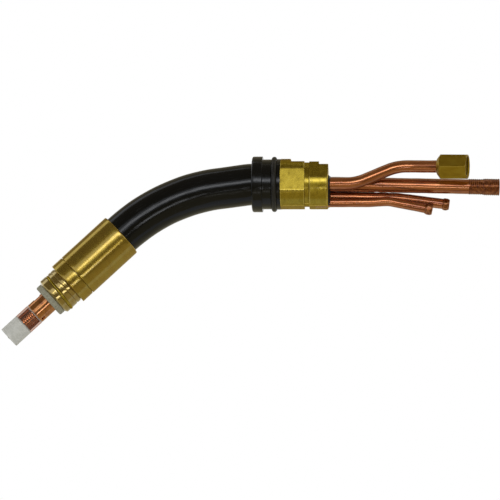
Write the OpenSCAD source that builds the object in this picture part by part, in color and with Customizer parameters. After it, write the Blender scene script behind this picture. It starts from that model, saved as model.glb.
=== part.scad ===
/* [Neck] */
// Angle between the front axis and the rear axis, in degrees
neck_angle = 43.6; // [30:0.2:60]
// Radius of the long bend, on the centre line
neck_bend_r = 97.6; // [80:0.2:120]
// Angle of the small kink where the neck leaves the collar, in degrees
entry_angle = 8; // [4:1:12]
// Radius of that kink, on the centre line
entry_bend_r = 30; // [25:1:50]
// Straight stretch between the kink and the long bend
neck_straight = 15.6; // [8:0.2:40]
// Straight stretch between the long bend and the jacket
neck_lead = 1; // [1:0.2:12]
// Diameter of the black insulating sleeve
sleeve_d = 23.4; // [22:0.1:24]
// Wall of the black insulating sleeve
sleeve_wall = 2; // [1.4:0.1:2.2]
// Wall of the supporting tube inside the sleeve
neck_tube_wall = 1.1; // [0.8:0.1:1.3]
// Diameter of each water line inside the neck
line_d = 3.7; // [3:0.1:3.8]
// Wall of each water line inside the neck
line_wall = 0.5; // [0.4:0.1:0.7]

/* [Jacket and nozzle seat] */
// Diameter of the water jacket
jacket_d = 26.5; // [25.4:0.1:30]
// Length of the jacket's sleeve
jacket_len = 33.3; // [28:0.1:50]
// Wall of the jacket's sleeve
jacket_wall = 1.1; // [0.8:0.1:1.3]
// How far the neck's sleeve reaches into the jacket
jacket_overlap = 4; // [2:0.5:6]
// Length of the front ring
front_ring_len = 7.5; // [5:0.1:12]
// Width of the parting line between the jacket and its front ring
parting_w = 0.35; // [0.2:0.05:0.6]
// Depth of the parting line
parting_depth = 0.4; // [0.2:0.05:0.7]
// Diameter of the nozzle seat
seat_d = 23; // [22.6:0.1:24]
// Visible length of the nozzle seat
seat_len = 11.3; // [10.5:0.1:16]
// Bore of the nozzle seat
seat_bore_d = 17.2; // [16.4:0.1:18.4]
// Length of the cone that leads the nozzle on
seat_cone_len = 0.9; // [0.5:0.1:1.5]
// Wire of the spring ring that holds the nozzle
ring_wire_d = 1.5; // [1.2:0.1:1.8]
// Tilt of the spring ring and its groove, in degrees
ring_tilt = 4.5; // [0:0.5:5]
// Distance from the jacket to the middle of the spring ring
ring_from_jacket = 6.4; // [5.8:0.1:7]
// Diameter of the insulating washer
washer_d = 20; // [19:0.1:22]
// Thickness of the insulating washer
washer_len = 3.4; // [2.5:0.1:5]

/* [Tip holder and cap] */
// Diameter of the tip holder
holder_d = 12.3; // [11.4:0.1:12.8]
// Visible length of the tip holder, from the washer to the cap
holder_len = 10; // [9:0.1:14]
// Diameter of the tip holder's front thread
tip_thread_d = 10; // [9:0.1:10.4]
// Length of the front thread
tip_thread_len = 8.4; // [6:0.1:12]
// Width of the spanner notch
notch_w = 4; // [3:0.1:4.4]
// Depth of the spanner notch
notch_depth = 1.05; // [0.6:0.05:1.2]
// Diameter of the gas holes
gas_hole_d = 2.2; // [1.4:0.1:2.6]
// Length of the push-on cap
cap_len = 19.5; // [15:0.1:26]
// Diameter of the push-on cap
cap_d = 12.4; // [12:0.1:13.5]
// Thickness of the cap's closed end
cap_floor = 1.2; // [0.8:0.1:2]

/* [Collar] */
// Diameter of the collar's flange
flange_d = 31.4; // [31:0.1:34]
// Width of the collar's flange
flange_w = 6; // [4:0.1:9]
// Diameter of the collar's barrel
barrel_d = 28.1; // [27.4:0.1:29]
// Length of the barrel between the flange and the seal's groove
barrel_len = 4.9; // [4:0.1:9]
// Section of the O-ring
o_ring_section = 3.1; // [2.4:0.1:3.4]
// Diameter of the lip behind the O-ring
lip_d = 28.5; // [27.4:0.1:29.4]
// Width of the lip behind the O-ring
lip_w = 2; // [1:0.1:3]

/* [Rear block] */
// Diameter of the bar that the block is turned from
block_d = 28.7; // [28:0.1:30]
// Length of the block's front body
front_body_len = 13.5; // [12:0.1:20]
// Length of the round stretch at the block's front, before the top flat
round_len = 6.3; // [4:0.1:9]
// Width of the groove between the two bodies
groove_w = 2.7; // [1.5:0.1:4]
// Diameter at the bottom of that groove
groove_d = 25.5; // [24:0.1:26]
// Length of the block's rear body
rear_body_len = 10.6; // [8:0.1:16]
// Width across the side flats and the slanted flat
block_flats = 25.7; // [25:0.1:27]
// Height of the bottom flat below the axis
bottom_flat = 13.95; // [13.1:0.05:14]
// Height of the top flat above the axis
top_flat = 11.2; // [11:0.1:12.5]
// Height of the rear step above the axis
step_flat = 9.5; // [9:0.1:10.5]
// Length of the rear step
step_len = 5.2; // [3:0.1:7]
// Diameter of the black plug on the rear face
plug_d = 25.4; // [22:0.1:25.4]
// Height of the plug's flat top above the axis
plug_top = 4.2; // [3:0.1:6]
// Thickness of the black plug
plug_len = 1.6; // [1:0.1:3]
// Diameter of the plug's raised middle
plug_boss_d = 13.2; // [12.6:0.1:14]

/* [Rear tubes] */
// Diameter of the wire conduit
conduit_d = 8.2; // [7.4:0.1:8.3]
// Bore of the wire conduit
conduit_bore_d = 5.2; // [4:0.1:6]
// Length of the conduit behind the block
conduit_len = 79; // [60:0.5:120]
// Length of the conduit's threaded end
thread_end_len = 17; // [12:0.5:24]
// Diameter of the conduit's thread
conduit_thread_d = 9.4; // [9:0.1:9.8]
// Length of the thread itself, on the rear half of that end
conduit_thread_len = 8.5; // [6:0.5:10]
// Droop of the conduit behind the block, in degrees
conduit_droop = 1.2; // [0:0.1:2]
// Diameter of the power tube
power_d = 6.9; // [5.8:0.1:7.2]
// Wall of the power tube
power_wall = 1; // [0.6:0.1:1.4]
// Radius of the power tube's bends, on the centre line
power_bend_r = 26; // [20:1:40]
// Straight stretch of the power tube behind the block, before its rise
power_lead = 10; // [6:0.2:16]
// Rise of the power tube's two bends, in degrees
power_rise = 23; // [15:0.5:30]
// Length of the rising stretch between the two bends
power_slope_len = 14.3; // [8:0.1:20]
// Turn of the power tube's end to the near side, in degrees
power_turn = 13; // [8:0.2:18]
// Straight stretch of the power tube's end
power_tail = 16.5; // [14:0.1:24]
// Diameter of the gas and water tubes
hose_tube_d = 5.2; // [4.2:0.1:5.4]
// Wall of the gas and water tubes
hose_tube_wall = 0.8; // [0.5:0.1:1.2]
// Straight stretch of the gas tube between its two small bends
gas_slope_len = 33; // [20:0.5:40]
// Fall of the gas tube's end, in degrees
gas_fall = 6.3; // [4:0.1:8]
// Straight stretch of the gas tube's end
gas_tail = 27; // [20:0.5:40]
// Straight stretch of the water tube behind the block
water_lead = 21.6; // [16:0.2:26]
// Straight stretch of the water tube between its rise and its fall
water_slope_len = 8.6; // [4:0.2:12]
// Fall of the water tube's end, in degrees
water_fall = 14.3; // [10:0.1:16]
// Straight stretch of the water tube's end
water_tail = 22; // [16:0.5:32]
// Largest diameter of the hose barbs
barb_d = 7; // [6.2:0.1:7.6]
// Length of a hose barb
barb_len = 4.4; // [3:0.1:7]

/* [Union nut] */
// Width across the flats
nut_flats = 13.4; // [13:0.1:15]
// Length of the nut
nut_len = 17; // [14:0.5:24]
// Turn of the nut's flats about its axis, in degrees
nut_turn = 44.4; // [0:0.1:60]
// Diameter of the nut's thread
nut_thread_d = 11.4; // [10.8:0.1:11.6]
// Diameter of the bore that runs on the nipple, behind the nut's thread
nut_bore_d = 10.4; // [9.8:0.1:10.8]
// Length of the solid collar behind that bore
nut_collar_len = 4; // [3.5:0.5:8]

/* [Hidden] */

$fn = 72;

// clearances
press_gap = 0.05;
running_gap = 0.08;
poke = 1;
bend_lap = 0.3;
bend_extra = 0.03;

// colours
brass = "darkgoldenrod";
copper = "peru";
black_plastic = "dimgray";
insulator_grey = "darkgray";
cap_white = "gainsboro";
rubber_black = "black";

// places along the rear axis
flange_front = -flange_w / 2;
neck_start = flange_front + 0.6;
barrel_front = flange_w / 2;
seal_front = barrel_front + barrel_len;
seal_w = o_ring_section;
lip_front = seal_front + seal_w;
block_front = lip_front + lip_w;
groove_front = block_front + front_body_len;
rear_body_front = groove_front + groove_w;
block_rear = rear_body_front + rear_body_len;
plug_rear = block_rear + plug_len;

// sizes inside the neck
sleeve_r = sleeve_d / 2;
sleeve_bore_r = sleeve_r - sleeve_wall;
neck_tube_r = sleeve_bore_r - press_gap;
neck_tube_bore_r = neck_tube_r - neck_tube_wall;
conduit_r = conduit_d / 2;
line_r = line_d / 2;
line_offset = (conduit_r + neck_tube_bore_r) / 2;
sleeve_in_collar = flange_w - 1;
tube_in_block = 8;

// places along the front axis, from the jacket's rear face
jacket_r = jacket_d / 2;
jacket_bore_r = jacket_r - jacket_wall;
jacket_front = jacket_len + front_ring_len;
seat_front = jacket_front + seat_len;
washer_front = seat_front + washer_len;
holder_front = washer_front + holder_len;
ring_place = jacket_front + ring_from_jacket;

// sizes inside the jacket
core_r = jacket_bore_r - press_gap;
chamber_r = core_r - 2;
core_land = 4.2;
core_rear = jacket_overlap;
spigot_r = 6.5;
spigot_front = seat_front - 2;
bush_r = seat_bore_d / 2 - press_gap;
bush_bore_r = spigot_r + press_gap;
seat_root_r = seat_d / 2 - 1;
holder_r = holder_d / 2;
holder_shank_r = 4.9;
holder_shank_len = 6;
cap_bore_r = tip_thread_d / 2 + running_gap;

// the power tube's nipple: how much of it lies behind the tube's end, and its length
nipple_behind = 1.6;
nipple_len = 4.2;
seal_gap = 0.3;

// places of the rear tubes on the block's rear face, across and up
power_at = [-7.85, -1.5];
gas_at = [3.3, -6.35];
water_at = [-1.4, -10.85];
power_r = power_d / 2;
hose_tube_r = hose_tube_d / 2;
socket_depth = 7;

// The neck's route forwards from the collar: each leg is a straight length, then a
// bend with its radius, its angle and the roll of its plane about the tube
neck_route = [
    [0, entry_bend_r, entry_angle, 0],
    [neck_straight, neck_bend_r, neck_angle - entry_angle, 0],
    [neck_lead, 0, 0, 0]
];

// the conduit's route forwards from its rear end
conduit_kink = plug_rear + 3;
conduit_route = [
    [conduit_len - 3, 40, conduit_droop, 0],
    [conduit_kink - neck_start, entry_bend_r, entry_angle, 0],
    [neck_straight, neck_bend_r, neck_angle - entry_angle, 0],
    [neck_lead + core_rear + 8, 0, 0, 0]
];

// the power tube's route backwards from its socket
power_route = [
    [socket_depth + power_lead, power_bend_r, power_rise, 0],
    [power_slope_len, power_bend_r, power_rise, 180],
    [1, power_bend_r, power_turn, 106.5],
    [power_tail, 0, 0, 0]
];

// the gas and water tubes' routes backwards from their sockets
gas_route = [
    [socket_depth + plug_len + 1, 60, 1.4, 180],
    [gas_slope_len, 30, gas_fall, 180],
    [gas_tail, 0, 0, 0]
];
water_route = [
    [socket_depth + water_lead, 25, 3, 0],
    [water_slope_len, 18, water_fall, 180],
    [water_tail, 0, 0, 0]
];

// where a bend of the neck from angle a to angle b ends, seen from where it starts
function bent_by(r, a, b) = [-r * (sin(b) - sin(a)), 0, -r * (cos(a) - cos(b))];
function straight_by(length, a) = [-length * cos(a), 0, -length * sin(a)];

jacket_rear_at = [neck_start, 0, 0]
    + bent_by(entry_bend_r, 0, entry_angle)
    + straight_by(neck_straight, entry_angle)
    + bent_by(neck_bend_r, entry_angle, neck_angle)
    + straight_by(neck_lead, neck_angle);

// the same route with its first and last straight stretches made longer
function longer(route, extra) = [
    for (i = [0 : len(route) - 1])
        [route[i][0] + (i == 0 ? extra : 0) + (i == len(route) - 1 ? extra : 0),
            route[i][1], route[i][2], route[i][3]]
];

// places children at a tube's start, facing along the axis
module facing_front(x) {
    translate([x, 0, 0]) rotate([0, -90, 0]) rotate([0, 0, 180]) children();
}

module facing_rear(x, at = [0, 0]) {
    translate([x, at[0], at[1]]) rotate([0, 90, 0]) rotate([0, 0, 180]) children();
}

// places children on the front axis, facing forwards from the jacket's rear face
module front_axis(along = 0) {
    translate(jacket_rear_at) rotate([0, -90 - neck_angle, 0]) translate([0, 0, along]) children();
}

// moves children to the end of a bend that turns from Z towards X
module after_bend(r, angle) {
    translate([r * (1 - cos(angle)), 0, r * sin(angle)]) rotate([0, angle, 0]) children();
}

// a round bar along a route: each straight length laps a little into the bends beside
// it, which are a hair thicker
module bar_along(route, r, i = 0) {
    leg = route[i];
    lap_before = i > 0 ? bend_lap : 0;
    lap_after = leg[2] > 0 ? bend_lap : 0;
    translate([0, 0, -lap_before]) cylinder(h = leg[0] + lap_before + lap_after, r = r);
    if (leg[2] > 0) {
        translate([0, 0, leg[0]]) rotate([0, 0, leg[3]]) {
            translate([leg[1], 0, 0]) rotate([90, 0, 180])
                rotate_extrude(angle = leg[2]) translate([leg[1], 0]) circle(r = r + bend_extra);
            after_bend(leg[1], leg[2]) rotate([0, 0, -leg[3]]) bar_along(route, r, i + 1);
        }
    }
}

// a tube along a route, open at both ends
module tube_along(route, r, bore_r) {
    difference() {
        bar_along(route, r);
        translate([0, 0, -poke]) bar_along(longer(route, poke), bore_r);
    }
}

// moves children to the end of a route
module end_of(route, i = 0) {
    leg = route[i];
    translate([0, 0, leg[0]]) {
        if (leg[2] > 0) {
            rotate([0, 0, leg[3]]) after_bend(leg[1], leg[2]) rotate([0, 0, -leg[3]])
                end_of(route, i + 1) children();
        } else {
            children();
        }
    }
}

// a round drilling from one point to another
module drilling(from, to, r) {
    way = to - from;
    flat = norm([way[0], way[1]]);
    translate(from) rotate([0, atan2(flat, way[2]), atan2(way[1], way[0])])
        cylinder(h = norm(way), r = r);
}

// a plain tube from one height to another
module ring(from, to, r, bore_r) {
    translate([0, 0, from]) difference() {
        cylinder(h = to - from, r = r);
        translate([0, 0, -poke]) cylinder(h = to - from + 2 * poke, r = bore_r);
    }
}

// a disc with both edges chamfered
module chamfered(h, r, chamfer) {
    rotate_extrude() polygon([
        [0, 0], [r - chamfer, 0], [r, chamfer], [r, h - chamfer], [r - chamfer, h], [0, h]
    ]);
}

module thread_cap() {
    cap_inside = cap_len - cap_floor;
    color(cap_white) front_axis(holder_front + running_gap) {
        difference() {
            chamfered(cap_len, cap_d / 2, 0.3);
            translate([0, 0, -poke]) cylinder(h = cap_inside + poke, r = cap_bore_r);
        }
        translate([0, 0, cap_len - 0.1]) cylinder(h = 0.5, r = 0.7);
    }
}

module tip_holder() {
    shoulder = spigot_front;
    thread_front = holder_front + tip_thread_len;
    notch_rear = washer_front + 1.3;
    hole_place = holder_front - 1 - gas_hole_d / 2;
    color(copper) front_axis() difference() {
        union() {
            translate([0, 0, shoulder - holder_shank_len])
                cylinder(h = holder_shank_len + poke, r = holder_shank_r);
            translate([0, 0, shoulder]) chamfered(holder_front - shoulder, holder_r, 0.25);
            translate([0, 0, holder_front - poke])
                chamfered(tip_thread_len + poke, tip_thread_d / 2, 0.6);
        }
        // way for the wire, and the socket of the contact tip
        translate([0, 0, shoulder - holder_shank_len - poke])
            cylinder(h = thread_front, r = conduit_bore_d / 2);
        translate([0, 0, holder_front - 2]) cylinder(h = tip_thread_len + 2 + poke, r = 3.4);
        // spanner notch on the upper side
        translate([holder_r - notch_depth, -holder_d, notch_rear]) cube([holder_d, 2 * holder_d, notch_w]);
        // gas holes, above and below
        translate([0, 0, hole_place]) rotate([0, 90, 0])
            cylinder(h = 2 * holder_d, r = gas_hole_d / 2, center = true);
    }
}

module front_insulator() {
    color(insulator_grey) front_axis() difference() {
        union() {
            translate([0, 0, jacket_len + 2]) cylinder(h = seat_front - jacket_len - 1, r = bush_r);
            translate([0, 0, seat_front]) rotate_extrude() polygon([
                [0, 0], [washer_d / 2 - 0.3, 0], [washer_d / 2, 0.3], [washer_d / 2, washer_len - 0.9],
                [washer_d / 2 - 0.9, washer_len], [0, washer_len]
            ]);
        }
        translate([0, 0, jacket_len]) cylinder(h = spigot_front - jacket_len, r = bush_bore_r);
        translate([0, 0, spigot_front - poke])
            cylinder(h = washer_front - spigot_front + 2 * poke, r = holder_r + press_gap);
    }
}

module nozzle_seat() {
    seat_r = seat_d / 2;
    groove_r = ring_wire_d / 2 + running_gap;
    // the cone starts at the washer's edge, so that the nozzle finds its way on
    cone_r = washer_d / 2 + 0.2;
    color(brass) front_axis() difference() {
        rotate_extrude() polygon([
            [seat_bore_d / 2, jacket_len + 1], [seat_root_r, jacket_len + 1], [seat_root_r, jacket_front],
            [seat_r - 0.5, jacket_front], [seat_r - 0.5, jacket_front + 0.5], [seat_r, jacket_front + 0.5],
            [seat_r, jacket_front + 2.5], [seat_r - 0.35, jacket_front + 2.6],
            [seat_r - 0.35, jacket_front + 2.9], [seat_r, jacket_front + 3],
            [seat_r, seat_front - seat_cone_len], [cone_r, seat_front], [seat_bore_d / 2, seat_front]
        ]);
        translate([0, 0, ring_place]) rotate([0, ring_tilt, 0]) difference() {
            cylinder(h = 2 * groove_r, r = seat_d, center = true);
            cylinder(h = seat_d, r = seat_r - ring_wire_d - press_gap, center = true);
        }
    }
}

module seat_spring_ring() {
    wire_r = ring_wire_d / 2;
    ring_r = seat_d / 2 - wire_r - press_gap / 2;
    color(brass) front_axis(ring_place) rotate([0, ring_tilt, 0]) rotate([0, 0, 100])
        rotate_extrude(angle = 340) translate([ring_r, 0]) circle(r = wire_r);
}

module jacket_front_ring() {
    color(brass) front_axis(jacket_len) difference() {
        rotate_extrude() polygon([
            [0, 0], [jacket_r - parting_depth, 0], [jacket_r - parting_depth, parting_w],
            [jacket_r, parting_w], [jacket_r, front_ring_len - 0.3], [jacket_r - 0.3, front_ring_len],
            [0, front_ring_len]
        ]);
        translate([0, 0, -poke]) cylinder(h = front_ring_len + 2 * poke, r = seat_root_r + press_gap);
    }
}

module jacket_sleeve() {
    color(brass) front_axis() rotate_extrude() polygon([
        [jacket_bore_r, jacket_overlap], [sleeve_r + press_gap, jacket_overlap], [sleeve_r + press_gap, 0],
        [jacket_r - 0.5, 0], [jacket_r, 0.5], [jacket_r, jacket_len], [jacket_bore_r, jacket_len]
    ]);
}

module jacket_core() {
    land_front = jacket_len;
    line_bore = line_r + press_gap;
    color(brass) front_axis() difference() {
        union() {
            translate([0, 0, core_rear]) cylinder(h = core_land, r = core_r);
            translate([0, 0, core_rear]) cylinder(h = land_front - core_rear, r = chamber_r);
            translate([0, 0, land_front - core_land]) cylinder(h = core_land, r = core_r);
            translate([0, 0, core_rear]) cylinder(h = spigot_front - core_rear, r = spigot_r);
        }
        // grooves of the two seals
        for (z = [core_rear + core_land / 2, land_front - core_land / 2])
            translate([0, 0, z]) ring(-0.8, 0.8, core_r + poke, core_r - 1.1);
        // bore of the conduit, way of the wire and thread of the tip holder
        translate([0, 0, core_rear - poke]) cylinder(h = 8 + 2 * poke, r = conduit_r + press_gap);
        translate([0, 0, core_rear]) cylinder(h = spigot_front, r = conduit_bore_d / 2);
        translate([0, 0, spigot_front - holder_shank_len - 1])
            cylinder(h = holder_shank_len + 2 * poke, r = holder_shank_r + press_gap);
        for (side = [-1, 1]) {
            // sockets of the water lines, and their ports into the chamber
            translate([0, side * line_offset, core_rear - poke]) cylinder(h = 7, r = line_bore);
            translate([0, side * line_offset, core_rear + 4])
                cylinder(h = side < 0 ? 4 : 16, r = line_r - line_wall);
            drilling([0, side * (line_offset - 1), core_rear + (side < 0 ? 7 : 19)],
                [0, side * (chamber_r + 1), core_rear + (side < 0 ? 7 : 19)], 1.2);
            // gas ways from the neck into the wire's bore
            drilling([side * 6.4, 0, core_rear - poke], [0, 0, core_rear + 13], 0.9);
        }
    }
}

module jacket_seals() {
    color(rubber_black) front_axis()
        for (z = [core_rear + core_land / 2, jacket_len - core_land / 2])
            translate([0, 0, z]) rotate_extrude() translate([core_r - 0.5, 0]) circle(r = 0.5);
}

module neck_sleeve() {
    route = [
        [sleeve_in_collar - (neck_start - flange_front), neck_route[0][1], neck_route[0][2], 0],
        neck_route[1],
        [neck_lead + jacket_overlap, 0, 0, 0]
    ];
    color(black_plastic) facing_front(flange_front + sleeve_in_collar)
        tube_along(route, sleeve_r, sleeve_bore_r);
}

// the neck's route from inside the block to the rear of the jacket's core
function inner_route(behind) = [
    [block_front + behind - neck_start, neck_route[0][1], neck_route[0][2], 0],
    neck_route[1],
    [neck_lead + jacket_overlap, 0, 0, 0]
];

module neck_tube() {
    color(brass) facing_front(block_front + tube_in_block)
        tube_along(inner_route(tube_in_block), neck_tube_r, neck_tube_bore_r);
}

module water_line(side) {
    route = [
        inner_route(tube_in_block + 3)[0], neck_route[1], [neck_lead + core_rear + 4, 0, 0, 0]
    ];
    color(copper) translate([0, side * line_offset, 0]) facing_front(block_front + tube_in_block + 3)
        tube_along(route, line_r, line_r - line_wall);
}

module water_feed_line() {
    water_line(-1);
}

module water_return_line() {
    water_line(1);
}

module collar() {
    flange_r = flange_d / 2;
    barrel_r = barrel_d / 2;
    lip_r = lip_d / 2;
    floor_r = barrel_r - o_ring_section / 2;
    edge = 1.2;
    color(black_plastic) difference() {
        rotate([0, 90, 0]) rotate_extrude() union() {
            polygon([
                [0, flange_front], [flange_r - edge, flange_front], [flange_r, flange_front + edge],
                [flange_r, barrel_front - 0.4], [flange_r - 0.4, barrel_front], [barrel_r, barrel_front],
                [barrel_r, seal_front], [floor_r, seal_front], [floor_r, lip_front],
                [lip_r, lip_front], [lip_r, block_front], [0, block_front]
            ]);
            translate([flange_r - edge, flange_front + edge]) circle(r = edge);
        }
        facing_rear(flange_front - poke) cylinder(h = sleeve_in_collar + poke, r = sleeve_r + press_gap);
        facing_rear(flange_front) cylinder(h = block_front, r = neck_tube_r + press_gap);
        facing_rear(0) cylinder(h = block_front + poke, r = neck_tube_r + press_gap);
    }
}

module collar_o_ring() {
    color(rubber_black) translate([seal_front + seal_w / 2, 0, 0]) rotate([0, 90, 0])
        rotate_extrude() translate([barrel_d / 2, 0]) circle(r = o_ring_section / 2 - press_gap);
}

// a flat cut into a bar along X: the normal's angle is measured upwards from the near side
module flat_cut(angle, height, from, to) {
    rotate([-angle, 0, 0]) translate([from, -block_d - height, -block_d])
        cube([to - from, block_d, 2 * block_d]);
}

module rear_block() {
    top_from = block_front + round_len;
    way_behind = 4;
    step_from = block_rear - step_len;
    color(brass) difference() {
        union() {
            facing_rear(block_front) chamfered(front_body_len, block_d / 2, 0.5);
            facing_rear(block_front + 1) cylinder(h = block_rear - block_front - 2, r = groove_d / 2);
            facing_rear(rear_body_front) chamfered(rear_body_len, block_d / 2, 0.7);
        }
        // side flats of the front body, slanted flat of the rear body
        flat_cut(0, block_flats / 2, block_front - poke, groove_front + groove_w / 2);
        flat_cut(180, block_flats / 2, block_front - poke, groove_front + groove_w / 2);
        flat_cut(30, block_flats / 2, groove_front + groove_w / 2, block_rear + poke);
        // bottom flat, top flat with its ramp, and the step at the rear
        flat_cut(-90, bottom_flat, block_front - poke, block_rear + poke);
        flat_cut(90, top_flat, top_from, block_rear + poke);
        translate([top_from, 0, top_flat]) rotate([0, -45, 0])
            translate([0, -block_d, 0]) cube([block_d, 2 * block_d, block_d]);
        flat_cut(90, step_flat, step_from, block_rear + poke);
        // seats of the neck's tube and the conduit
        facing_rear(block_front - poke) cylinder(h = tube_in_block + poke, r = neck_tube_r + press_gap);
        facing_rear(block_front) cylinder(h = block_rear, r = conduit_r + press_gap);
        // sockets of the rear tubes
        facing_rear(block_rear - socket_depth, power_at)
            cylinder(h = socket_depth + poke, r = power_r + press_gap);
        facing_rear(block_rear - socket_depth, gas_at)
            cylinder(h = socket_depth + poke, r = hose_tube_r + press_gap);
        facing_rear(block_rear - socket_depth, water_at)
            cylinder(h = socket_depth + poke, r = hose_tube_r + press_gap);
        // seats of the neck's two water lines
        for (side = [-1, 1])
            facing_rear(block_front + tube_in_block - poke, [side * line_offset, 0])
                cylinder(h = 3 + poke, r = line_r + press_gap);
        // water and gas ways through the block
        drilling([block_front + tube_in_block + 2, -line_offset, 0],
            [block_rear - socket_depth + 0.5, water_at[0], water_at[1] + 0.6], 1.2);
        drilling([block_front + tube_in_block + 2, line_offset, 0],
            [block_front + tube_in_block + 2 + way_behind, line_offset, 0], 1.2);
        drilling([block_rear - socket_depth + 1, gas_at[0], gas_at[1]],
            [block_front + tube_in_block - 1, gas_at[0], gas_at[1]], 1.2);
    }
}

module rear_plug() {
    plug_r = plug_d / 2;
    color(black_plastic) difference() {
        union() {
            intersection() {
                facing_rear(block_rear) chamfered(plug_len, plug_r, 0.3);
                translate([block_rear - poke, -plug_r, -2 * plug_r])
                    cube([plug_len + 2 * poke, 2 * plug_r, 2 * plug_r + plug_top]);
            }
            facing_rear(block_rear, [0, gas_at[1] / 2]) chamfered(plug_len + 0.8, plug_boss_d / 2, 0.3);
        }
        facing_rear(block_rear - poke) cylinder(h = 3 * plug_len, r = conduit_r + press_gap);
        facing_rear(block_rear - poke, power_at) cylinder(h = 3 * plug_len, r = power_r + press_gap);
        facing_rear(block_rear - poke, gas_at) cylinder(h = 3 * plug_len, r = hose_tube_r + press_gap);
        facing_rear(block_rear - poke, water_at) cylinder(h = 3 * plug_len, r = hose_tube_r + press_gap);
    }
}

// places children at the conduit's rear end, facing forwards
module conduit_end() {
    droop_drop = (conduit_len - 3) * sin(conduit_droop) + 40 * (1 - cos(conduit_droop));
    droop_run = (conduit_len - 3) * cos(conduit_droop) + 40 * sin(conduit_droop);
    translate([conduit_kink + droop_run, 0, -droop_drop]) rotate([0, -90 + conduit_droop, 0])
        rotate([0, 0, 180]) children();
}

module wire_conduit() {
    color(copper) conduit_end() tube_along(conduit_route, conduit_r, conduit_bore_d / 2);
}

module conduit_thread_end() {
    shell = conduit_r + 0.25;
    color(copper) conduit_end() difference() {
        translate([0, 0, -thread_end_len + 3]) rotate_extrude() polygon([
            [0, 0], [conduit_thread_d / 2 - 0.5, 0], [conduit_thread_d / 2, 0.5],
            [conduit_thread_d / 2, conduit_thread_len], [shell, conduit_thread_len + 0.4],
            [shell, thread_end_len], [0, thread_end_len]
        ]);
        cylinder(h = thread_end_len, r = conduit_r + press_gap);
        translate([0, 0, -thread_end_len]) cylinder(h = thread_end_len + poke, r = conduit_bore_d / 2);
    }
}

module power_tube() {
    color(copper) facing_rear(block_rear - socket_depth, power_at)
        tube_along(power_route, power_r, power_r - power_wall);
}

// places children at the power tube's end, facing along it
module power_end() {
    facing_rear(block_rear - socket_depth, power_at) end_of(power_route) children();
}

// places children where the union nut begins
module nut_start() {
    power_end() translate([0, 0, -nipple_behind - seal_gap - nut_collar_len]) children();
}

module power_nipple() {
    nipple_r = nut_bore_d / 2 - 0.3;
    color(brass) power_end() translate([0, 0, -nipple_behind]) difference() {
        rotate_extrude() polygon([
            [0, 0], [nipple_r - 0.4, 0], [nipple_r, 0.4], [nipple_r, nipple_behind],
            [power_r - 0.5, nipple_len], [0, nipple_len]
        ]);
        translate([0, 0, -poke]) cylinder(h = nipple_behind + poke, r = power_r + press_gap / 2);
        cylinder(h = nipple_len + poke, r = power_r - power_wall);
    }
}

module union_nut() {
    corner_r = nut_flats / 2 / cos(30);
    // the turned outline runs past the hexagon's corners
    turned_r = corner_r + 0.4;
    thread_r = nut_thread_d / 2;
    thread_from = nut_collar_len + seal_gap + nipple_len + 0.2;
    color(brass) nut_start() difference() {
        intersection() {
            rotate([0, 0, nut_turn]) cylinder(h = nut_len, r = corner_r, $fn = 6);
            rotate_extrude() polygon([
                [0, -poke], [power_r + 1 - poke, -poke], [turned_r, 2.9],
                [turned_r, nut_len - 0.9], [corner_r - 0.9 - poke, nut_len + poke], [0, nut_len + poke]
            ]);
        }
        translate([0, 0, -poke]) cylinder(h = nut_len, r = power_r + running_gap);
        translate([0, 0, nut_collar_len]) cylinder(h = nut_len, r = nut_bore_d / 2);
        translate([0, 0, thread_from]) cylinder(h = nut_len, r = thread_r);
        translate([0, 0, nut_len - 0.5]) cylinder(h = 1, r1 = thread_r, r2 = thread_r + 1);
    }
}

// a tube for a hose, from its socket in the block
module hose_tube(at, route) {
    facing_rear(block_rear - socket_depth, at)
        tube_along(route, hose_tube_r, hose_tube_r - hose_tube_wall);
}

// the barb at the end of such a tube
module hose_barb(at, route) {
    ridge = barb_d / 2;
    facing_rear(block_rear - socket_depth, at) end_of(route) difference() {
        translate([0, 0, -barb_len + 0.6]) rotate_extrude() polygon([
            [0, 0], [hose_tube_r + 0.1, 0], [ridge, 0.9], [ridge, 1.3], [hose_tube_r - 0.1, barb_len], [0, barb_len]
        ]);
        translate([0, 0, -barb_len]) cylinder(h = barb_len, r = hose_tube_r + press_gap / 2);
        translate([0, 0, -poke]) cylinder(h = 2 * poke + 1, r = hose_tube_r - hose_tube_wall);
    }
}

module gas_tube() {
    color(copper) hose_tube(gas_at, gas_route);
}

module gas_barb() {
    color(copper) hose_barb(gas_at, gas_route);
}

module water_tube() {
    color(copper) hose_tube(water_at, water_route);
}

module water_barb() {
    color(copper) hose_barb(water_at, water_route);
}

thread_cap();
tip_holder();
front_insulator();
nozzle_seat();
seat_spring_ring();
jacket_front_ring();
jacket_sleeve();
jacket_core();
jacket_seals();
neck_sleeve();
neck_tube();
water_feed_line();
water_return_line();
collar();
collar_o_ring();
rear_block();
rear_plug();
wire_conduit();
conduit_thread_end();
power_tube();
power_nipple();
union_nut();
gas_tube();
gas_barb();
water_tube();
water_barb();
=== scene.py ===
import math
import bmesh, bpy
import numpy as np
from mathutils import Matrix, Vector


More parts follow.
